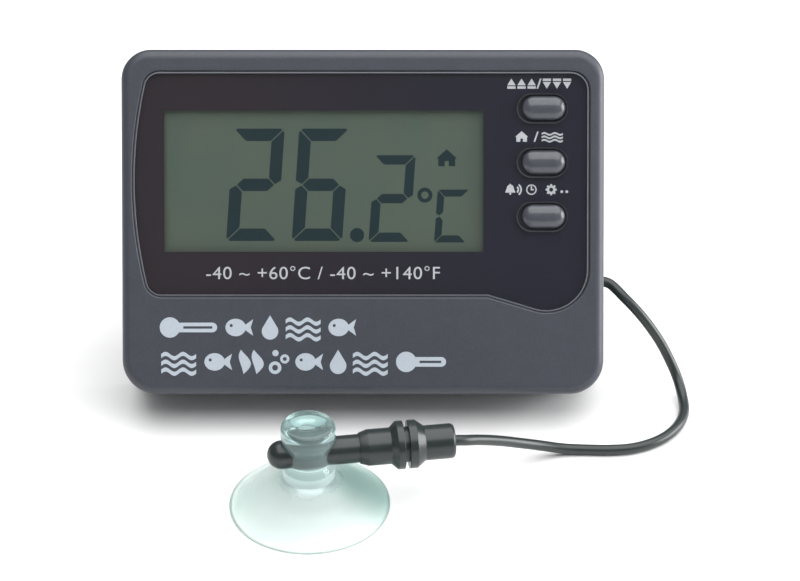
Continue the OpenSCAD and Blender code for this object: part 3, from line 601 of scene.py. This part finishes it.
def make_cup():
    """The suction cup, turned as one solid, with the hole that the probe passes through."""
    profile = rounded([(0, 4.2, 0), (3, 4.05, 2), (8, 2.9, 4), (13, 1.2, 3), (16.2, 0, 0),
        (CUP_R, 0, 0.2), (CUP_R, 0.75, 0.3), (15, 2.1, 1), (12, 4.1, 3), (9, 5.7, 3),
        (7, 7.0, 0.5), (5.5, 8.2, 0.25), (5.5, 10.3, 1), (4.65, 12, 1.5), (4.65, 15, 1.5),
        (5.75, 17.5, 1.5), (5.75, CUP_H, 1.8), (2.8, CUP_H - 0.1, 0.8), (1.6, CUP_H - 0.8, 0.8),
        (0, CUP_H - 0.9, 0)], steps=7)
    cup = lathe(profile, 128).place("cup_soft", IN_CUP, clear_vinyl, "cup", "clear_vinyl")
    bore_r = TUBE_R - 0.02
    bore = lathe([(0, -20), (bore_r, -20), (bore_r, 20), (0, 20)], 64)
    turn = Matrix.Translation((0, 0, CUP_HOLE_Z)) @ Matrix.Rotation(math.radians(90), 4, "Y")
    mesh = bpy.data.meshes.new("bore")
    mesh.from_pydata([IN_CUP @ turn @ Vector(p) for p in bore.points], [], bore.faces)
    cutter = bpy.data.objects.new("bore", mesh)
    bpy.context.collection.objects.link(cutter)
    return settle(cut(cup, cutter), "cup_shell", clear_vinyl, "cup",
        ("suction_cup",), 40)


probe_pieces = make_probe()
cup_piece = make_cup()
nodes = frame["nodes"]


# ---------------------------------------------------------------- case front
def make_front():
    """The front half: a rounded rim, a seat for the window, and holes under the black film."""
    shape = Shape()
    fillet = [math.radians(9 * i) for i in range(11)]
    back = SPLIT_Y - SEAM
    rim = [(EDGE_R * (1 - math.sin(a)), EDGE_R * (1 - math.cos(a))) for a in reversed(fillet)]
    rim += [(back - 0.15, 0), (back, 0.15), (back, WALL), (FRONT_Y, WALL)]
    outer = [shape.ring(case_outline(inset), y) for y, inset in rim]
    lip = 0.3
    seat = [(lip * (1 - math.sin(a)), lip * (1 - math.cos(a))) for a in reversed(fillet[::2])]
    seat += [(SEAT_Y, 0)]
    inner = [shape.ring(lens_outline(LENS_GAP + spread), y) for y, spread in seat]
    shape.walls(outer)
    shape.walls(inner)
    shape.sheet([outer[0], inner[0]])
    outlines = [rectangle(WINDOW_C, WINDOW_W + 1.2, WINDOW_H + 1.2)]
    outlines += [button_hole(z) for z in CAP_ZS]
    holes = [[shape.ring(outline, y) for y in (SEAT_Y, FRONT_Y)] for outline in outlines]
    for hole in holes:
        shape.walls(hole)
    shape.sheet([inner[-1]] + [hole[0] for hole in holes])
    shape.sheet([outer[-1]] + [hole[1] for hole in holes], flip=True)
    shape.place("front_shell", IN_CASE, case_grey, "case", "case_plastic", ("front_cover",))


def make_window():
    """The clear window, the frosted bevel of its outer edge, whose light grey is a painted highlight
    line, and the frosted bevels of its button holes.
    """
    holes = [lambda grow, z=z: button_hole(z, grow) for z in CAP_ZS]
    bevel = 0.26
    clear = plate(lens_outline, holes, LENS_Y, MASK_Y - 0.01, bevel)
    clear.place("window_sheet", IN_CASE, window_clear, "case", "clear_window", ("display_lens",))
    # The frosted bevels lie just over the sheet's own. Those of the holes line the holes' walls too
    over = 0.03
    section = [(LENS_Y - over, bevel), (LENS_Y + bevel, -over), (LENS_Y + bevel + over, 0.01),
        (LENS_Y + 0.01, bevel + over)]
    deep = section[:2] + [(MASK_Y - 0.05, -over), (MASK_Y - 0.05, 0.01)] + section[2:]
    frosted_highlight, edges = Shape(), Shape()
    for shape, outline, turned, profile in [(frosted_highlight, lens_outline, -1, section)] + [
            (edges, hole, 1, deep) for hole in holes]:
        rings = [shape.ring(outline(turned * inset), y) for y, inset in profile]
        shape.walls(rings + rings[:1])
    # The outer bevel's light grey is a painted highlight along the window's edge.
    frosted_highlight.place("window_bevel", IN_CASE, frosted_edge_highlight, "case", "clear_window")
    edges.place("window_hole_edges", IN_CASE, hole_frost, "case", "clear_window")


def make_caps():
    """Domed pill-shaped caps, each with a lip behind the front wall."""
    names = ("max_min", "in_out", "alarm_set")
    reach = CAP_H / 2 - 0.12
    turn = [math.radians(7.5 * i) for i in range(13)]
    dome = [(1.15 - 1.85 * math.cos(a), reach * (1 - math.sin(a))) for a in turn]
    lip = [(2.65, 0), (2.65, -0.8), (3.4, -0.8)]
    for name, z in zip(names, CAP_ZS):
        shape = Shape()
        rings = [shape.ring(pill((CAP_X, z), CAP_W, CAP_H, -inset), y) for y, inset in dome + lip]
        shape.walls(rings)
        shape.sheet([rings[0]])
        shape.sheet([rings[-1]], flip=True)
        shape.place("cap_" + name, IN_CASE, cap_grey, name + "_button", "button_plastic",
            ("button_" + name,), crease=50)


make_front()
make_window()
make_caps()


# ---------------------------------------------------------------- display segments and printed marks
def flat_marks(name, marks, y_front, y_back, material, slot):
    """Thin marks on the face. Each mark is a list of outlines: the outer one, then its holes."""
    shape = Shape()
    for loops in marks:
        front = [shape.ring(loop, y_front) for loop in loops]
        back = [shape.ring(loop, y_back) for loop in loops]
        for one, two in zip(front, back):
            shape.walls([one, two])
        shape.sheet(front)
        shape.sheet(back, flip=True)
    shape.place(name, IN_CASE, material, "case", slot)


def shrink(points, gap):
    """A convex outline with every side moved in by gap."""
    area = sum(a[0] * b[1] - b[0] * a[1] for a, b in zip(points, points[1:] + points[:1]))
    if area < 0:
        points = points[::-1]
    n = len(points)
    lines = []
    for a, b in zip(points, points[1:] + points[:1]):
        dx, dz = b[0] - a[0], b[1] - a[1]
        size = math.hypot(dx, dz)
        lines.append((a[0] - dz / size * gap, a[1] + dx / size * gap, dx, dz))
    made = []
    for i in range(n):
        ax, az, adx, adz = lines[i - 1]
        bx, bz, bdx, bdz = lines[i]
        cross = adx * bdz - adz * bdx
        t = ((bx - ax) * bdz - (bz - az) * bdx) / cross
        made.append((ax + t * adx, az + t * adz))
    return made


def digit(which, x0, x1, z0, z1, t, gap=0.12, slant=4):
    """The lit segments of a seven-segment digit in a box, leaning right by slant degrees."""
    h = z1 - z0
    lean = math.tan(math.radians(slant))
    w = x1 - x0 - h * lean
    m = h / 2
    c = 0.3 * t
    k = c / 2
    sides = {
        "a": [(c, h), (w - c, h), (w - k, h - k), (w - t, h - t), (t, h - t), (k, h - k)],
        "b": [(w - k, h - k), (w, h - c), (w, m + c), (w - t / 2, m), (w - t, m + t / 2),
            (w - t, h - t)],
        "c": [(w, m - c), (w, c), (w - k, k), (w - t, t), (w - t, m - t / 2), (w - t / 2, m)],
        "d": [(c, 0), (k, k), (t, t), (w - t, t), (w - k, k), (w - c, 0)],
        "e": [(k, k), (0, c), (0, m - c), (t / 2, m), (t, m - t / 2), (t, t)],
        "f": [(0, m + c), (0, h - c), (k, h - k), (t, h - t), (t, m + t / 2), (t / 2, m)],
        "g": [(t / 2, m), (t, m + t / 2), (w - t, m + t / 2), (w - t / 2, m), (w - t, m - t / 2),
            (t, m - t / 2)],
    }
    return [[[(x0 + x + z * lean, z0 + z) for x, z in shrink(sides[s], gap)]] for s in which]


def disc(centre, r, hole=0):
    """A round spot, or a ring round a hole."""
    loops = [arc(centre, r, 0, 360, 32)[:-1]]
    if hole:
        loops.append(arc(centre, hole, 0, 360, 32)[:-1])
    return loops


def house(x, z, w):
    """A small house: the sign for the indoor sensor."""
    return [[(x, z), (x + w * 0.38, z), (x + w * 0.38, z + w * 0.3), (x + w * 0.62, z + w * 0.3),
        (x + w * 0.62, z), (x + w, z), (x + w, z + w * 0.45), (x + w * 1.12, z + w * 0.45),
        (x + w / 2, z + w), (x - w * 0.12, z + w * 0.45), (x, z + w * 0.45)]]


def make_segments():
    """The reading on the display: digits, a point, a degree ring, the unit and the indoor sign."""
    marks = digit("abged", -30, -16.9, -4.2, 20.5, 2.95)
    marks += digit("afgecd", -15.7, -2.7, -4.2, 20.5, 2.95)
    marks += [disc((-1.3, -2.8), 1.55)]
    marks += digit("abged", 1.1, 11.6, -4.4, 14.7, 2.25, 0.1)
    marks += [disc((13.5, 5.9), 1.65, 0.8)]
    marks += digit("afed", 15.4, 23.3, -4.5, 7.2, 1.7, 0.08)
    marks += [house(16.4, 12.2, 3.7)]
    flat_marks("display_segments", marks, FRONT_Y - 0.02, FRONT_Y + 0.05, lcd_dark, "black_print")


def slash(x, z, h):
    """A slanted stroke."""
    return [[(x - 0.55, z), (x - 0.2, z), (x + 0.55, z + h), (x + 0.2, z + h)]]


def triangle(x, z, w, h):
    """A triangle on a bar; a negative h turns it over."""
    bar = 0.24 * h
    return [[[(x - w / 2, z + bar * 1.4), (x + w / 2, z + bar * 1.4), (x, z + h)]],
        [[(x - w / 2, z), (x + w / 2, z), (x + w / 2, z + bar), (x - w / 2, z + bar)]]]


def drop(x, z, h):
    """A water drop with its point up."""
    r = h * 0.34
    return [arc((x, z + r), r, 155, 385, 26) + [(x, z + h)]]


def bell(x, z, h):
    """A bell with a clapper."""
    dome = arc((x, z + h * 0.62), h * 0.33, 0, 180, 14)
    body = [(x + h * 0.48, z + h * 0.2)] + dome + [(x - h * 0.48, z + h * 0.2)]
    return [[body], disc((x, z + h * 0.09), h * 0.1), disc((x, z + h * 0.97), h * 0.07)]


def cog(x, z, r):
    """A gear wheel with eight teeth and a round hole."""
    rim = []
    for i in range(8):
        a = 45 * i
        for spread, size in ((-9, 1.0), (9, 1.0), (14, 0.76), (31, 0.76)):
            t = math.radians(a + spread)
            rim.append((x + r * size * math.cos(t), z + r * size * math.sin(t)))
    return [rim, arc((x, z), r * 0.36, 0, 360, 20)[:-1]]


def sound(x, z, h):
    """Two arcs of sound that spread to the right."""
    made = []
    for r in (0.34, 0.62):
        outer = arc((x, z + h / 2), h * (r + 0.08), -52, 52, 12)
        inner = arc((x, z + h / 2), h * (r - 0.08), 52, -52, 12)
        made.append([outer + inner])
    return made


def clock(x, z, h):
    """A clock face with its two hands."""
    t = h * 0.07
    hands = [(x - t, z + h * 0.43), (x + h * 0.24, z + h * 0.43), (x + h * 0.24, z + h * 0.57),
        (x + t, z + h * 0.57), (x + t, z + h * 0.84), (x - t, z + h * 0.84)]
    return [disc((x, z + h / 2), h * 0.52, h * 0.4), [hands]]


def make_labels():
    """Signs over the buttons: high and low, indoors and in the water, and the alarm setting."""
    x, h = 38.25, 2.2
    top, middle, low = 29.0, 17.5, 6.0
    marks = [slash(x, top, h), slash(x - 0.6, middle, h)]
    for i in range(3):
        marks += triangle(x - 6.0 + 2.2 * i, top, 1.8, h)
        marks += triangle(x + 1.7 + 2.2 * i, top + h, 1.8, -h)
    marks += [house(x - 4.9, middle, 2.3)] + ripples(x + 0.6, middle, h + 0.1, 4.6)
    marks += bell(x - 6.2, low, h + 0.1) + sound(x - 5.2, low, h) + clock(x - 1.6, low, h)
    marks += [cog(x + 2.7, low + h / 2, h * 0.56), disc((x + 5.0, low + h * 0.3), h * 0.14),
        disc((x + 6.1, low + h * 0.3), h * 0.14)]
    flat_marks("button_labels", marks, MASK_Y - 0.03, MASK_Y + 0.05, white_ink, "white_plastic")


def make_range():
    """The measuring range, in numbers and degree units."""
    words = bpy.data.curves.new("range_numbers", "FONT")
    words.body = "-40 ~ +60°C / -40 ~ +140°F"
    words.align_x, words.align_y = "CENTER", "CENTER"
    words.size = 3.9
    words.space_character = 1.06
    words.extrude = 0.035
    words.resolution_u = 6
    writer = bpy.data.objects.new("range_writer", words)
    bpy.context.collection.objects.link(writer)
    depsgraph = bpy.context.evaluated_depsgraph_get()
    mesh = bpy.data.meshes.new_from_object(writer.evaluated_get(depsgraph))
    bpy.data.objects.remove(writer)
    width = max(v.co.x for v in mesh.vertices) - min(v.co.x for v in mesh.vertices)
    stand_up = Matrix.Rotation(math.radians(90), 4, "X")
    mesh.transform(IN_CASE @ Matrix.Translation((-8.7, MASK_Y, -11.2)) @ stand_up
        @ Matrix.Scale(50.9 / width, 4, (1, 0, 0)))
    mesh.materials.clear()
    settle(mesh, "range_numbers", white_ink, "case")


def fish(x, z, h):
    """A fish that swims left, with a round eye."""
    body = [(x + h * (0.40 + 0.42 * math.cos(a)), z + h * (0.5 + 0.36 * math.sin(a)))
        for a in [math.radians(18 + 324 * i / 30) for i in range(31)]]
    tail = [(x + h * 1.12, z + h * 0.16), (x + h * 1.02, z + h * 0.5), (x + h * 1.12, z + h * 0.84)]
    return [body + tail, arc((x + h * 0.22, z + h * 0.58), h * 0.065, 0, 360, 16)[:-1]]


def ripples(x, z, h, w):
    """Three short waves, one over another."""
    made = []
    for row in (0.1, 0.42, 0.74):
        line = [(x + w * i / 24, z + h * row + 0.09 * h * math.sin(2 * math.pi * i / 12))
            for i in range(25)]
        t = h * 0.085
        made.append([[(px, pz - t) for px, pz in line] + [(px, pz + t) for px, pz in line[::-1]]])
    return made


def gauge(x, z, h, w):
    """A thermometer on its side: a bulb, and a stem with a slot in it."""
    r, stem, end = h * 0.42, h * 0.2, x + w
    bulb = arc((x + r, z + h / 2), r, 28, 332, 30)
    outer = bulb + arc((end - stem, z + h / 2), stem, -90, 90, 12)
    slot = [(x + 2.3 * r, z + h * 0.45), (end - stem, z + h * 0.45), (end - stem, z + h * 0.55),
        (x + 2.3 * r, z + h * 0.55)]
    return [outer, slot]


def leaf(x, z, h):
    """A water plant's leaf, which sways as it rises."""
    def edge(side, i):
        half_w, sway = 0.22 * math.sin(math.pi * i / 14), 0.1 * math.sin(i / 3)
        return (x + h * (side * half_w + sway), z + h * i / 14)

    return [[edge(1, i) for i in range(15)] + [edge(-1, i) for i in range(13, 0, -1)]]


def bubbles(x, z, h):
    """Three air bubbles, two of them rings."""
    return [disc((x + h * 0.24, z + h * 0.26), h * 0.26, h * 0.12),
        disc((x + h * 0.64, z + h * 0.62), h * 0.19, h * 0.08),
        disc((x + h * 0.26, z + h * 0.86), h * 0.13)]


def make_title():
    """Two rows of plain pictures of what the object is for, in pale ink on the lower case."""
    h = 5.3
    low, high = -33.0, -25.5
    marks = [gauge(-44.2, high, h, 12.5), fish(-29.8, high, h), drop(-20.2, high, h)]
    marks += ripples(-16.8, high, h, 7.6) + [fish(-7.4, high, h)]
    marks += ripples(-43.9, low, h, 7.6) + [fish(-34.4, low, h), leaf(-26.0, low, h)]
    marks += [leaf(-23.2, low, h)] + bubbles(-20.4, low, h) + [fish(-14.6, low, h)]
    marks += [drop(-5.4, low, h)] + ripples(-2.2, low, h, 7.6) + [gauge(7.2, low, h, 10.9)]
    flat_marks("title_pictures", marks, -0.03, 0.04, title_ink, "white_plastic")


make_segments()
make_labels()
make_range()
make_title()


# ---------------------------------------------------------------- CAD nodes that keep their shape
def polish(node, material, bevel_mm):
    """Gives a CAD node its material, and small rounded edges where they can be seen."""
    piece = nodes[node]
    piece.data.materials.clear()
    piece.data.materials.append(material)
    piece.data.shade_smooth()
    piece.modifiers.new("weld", "WELD").merge_threshold = 1e-6
    if bevel_mm:
        bevel = piece.modifiers.new("bevel", "BEVEL")
        bevel.width = bevel_mm * MM
        bevel.segments = 3
        bevel.limit_method = "ANGLE"
        bevel.angle_limit = math.radians(35)
        bevel.use_clamp_overlap = True
    piece.modifiers.new("weigh", "WEIGHTED_NORMAL")


# The material of each CAD node that is shown as it is, and the width of its rounded edges in mm
KEPT = {
    "rear_cover": (case_grey, 0.15), "battery_door": (case_grey, 0.12), "stand": (case_grey, 0.25),
    "lens_mask": (black_film, 0), "lcd_front_glass": (lcd_back, 0.05),
    "lcd_rear_glass": (glass_clear, 0.05), "lcd_reflector": (lcd_back, 0),
    "lcd_holder": (white_plastic, 0.1), "zebra_strips": (zebra_rubber, 0.1),
    "circuit_board": (green_board, 0.05), "chip_blob": (black_resin, 0),
    "quartz_crystal": (steel, 0.1), "indoor_thermistor": (black_resin, 0),
    "buzzer_disc": (brass, 0.05), "tact_switches": (dark_plastic, 0.1),
    "plunger_max_min": (dark_plastic, 0.1), "plunger_in_out": (dark_plastic, 0.1),
    "plunger_alarm_set": (dark_plastic, 0.1), "battery_cell": (cell_jacket, 0.3),
    "battery_contact_positive": (steel, 0.05), "battery_contact_spring": (steel, 0),
    "stand_hinge_pin": (steel, 0.1), "case_screws": (steel, 0.08), "board_screws": (steel, 0.05),
    "unit_switch_body": (dark_plastic, 0.1), "unit_switch_knob": (dark_plastic, 0.2),
    "inner_wires": (wire_red, 0), "cable_grommet": (probe_black, 0.15),
    "thermistor_bead": (brass, 0), "probe_potting": (resin_grey, 0),
}
for node, (material, bevel_mm) in KEPT.items():
    polish(node, material, bevel_mm)


# ---------------------------------------------------------------- floor, light and picture
def make_floor():
    """A plain sheet of paper under the object."""
    size = 3.0
    mesh = bpy.data.meshes.new("floor")
    corners = [(-size, -size, 0), (size, -size, 0), (size, size, 0), (-size, size, 0)]
    mesh.from_pydata(corners, [], [(0, 1, 2, 3)])
    mesh.materials.append(floor_paper())
    floor = bpy.data.objects.new("floor", mesh)
    bpy.context.collection.objects.link(floor)


def lamp(name, at, target, size, power):
    """A soft white lamp that shines from at towards target."""
    data = bpy.data.lights.new(name, "AREA")
    data.shape = "RECTANGLE"
    data.size, data.size_y = size
    data.energy = power
    made = bpy.data.objects.new(name, data)
    made.location = at
    made.rotation_mode = "QUATERNION"
    made.rotation_quaternion = (Vector(target) - Vector(at)).to_track_quat("-Z", "Y")
    bpy.context.collection.objects.link(made)


make_floor()
lamp("overhead", (0.2, -0.05, 1.0), (0.2, -0.05, 0), (1.6, 1.6), 21.5)
lamp("right", (0.8, 0.0, 0.24), (0, 0, 0.1), (0.7, 0.46), 8)

world = bpy.data.worlds.new("studio")
world.use_nodes = True
sky = world.node_tree.nodes["Background"]
sky.inputs["Color"].default_value = (1, 1, 1, 1)
sky.inputs["Strength"].default_value = 0.32
bpy.context.scene.world = world
bpy.context.scene.view_settings.view_transform = "Standard"
bpy.context.scene.view_settings.look = "None"
